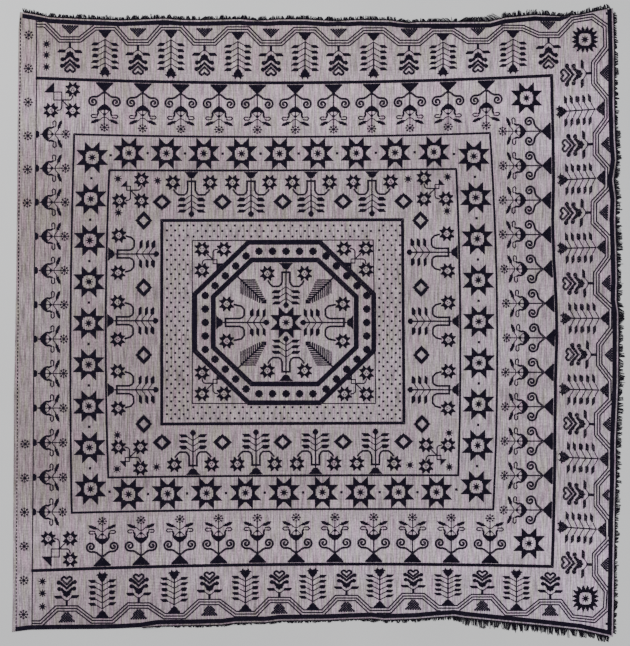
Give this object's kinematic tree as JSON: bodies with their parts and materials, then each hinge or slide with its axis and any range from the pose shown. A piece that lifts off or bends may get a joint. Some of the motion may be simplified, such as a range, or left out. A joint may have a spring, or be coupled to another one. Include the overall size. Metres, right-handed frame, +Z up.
{
  "type": "candlewick bedspread",
  "caption": "Square loop-woven cotton bedspread lying flat: pale ground, dark raised pile frames, stars, trees and an octagon, and a short dark fringe along the sides and foot.",
  "frame": {"origin": "middle of the whole outline, fringe included, on the surface that the bedspread lies on", "axes": "+Z up from the surface, +X from the plain head strip to the fringed foot, +Y from the near long side to the far one"},
  "size_m": [2.4612, 2.5752, 0.0103],
  "materials": {
    "ground_cotton": "matt woven cotton",
    "dark_yarn": "matt cotton pile"
  },
  "bodies": {
    "root": {"coverlet": "ground_cotton", "fringe_near": "dark_yarn", "fringe_foot": "dark_yarn", "fringe_far": "dark_yarn"}
  },
  "joints": []
}
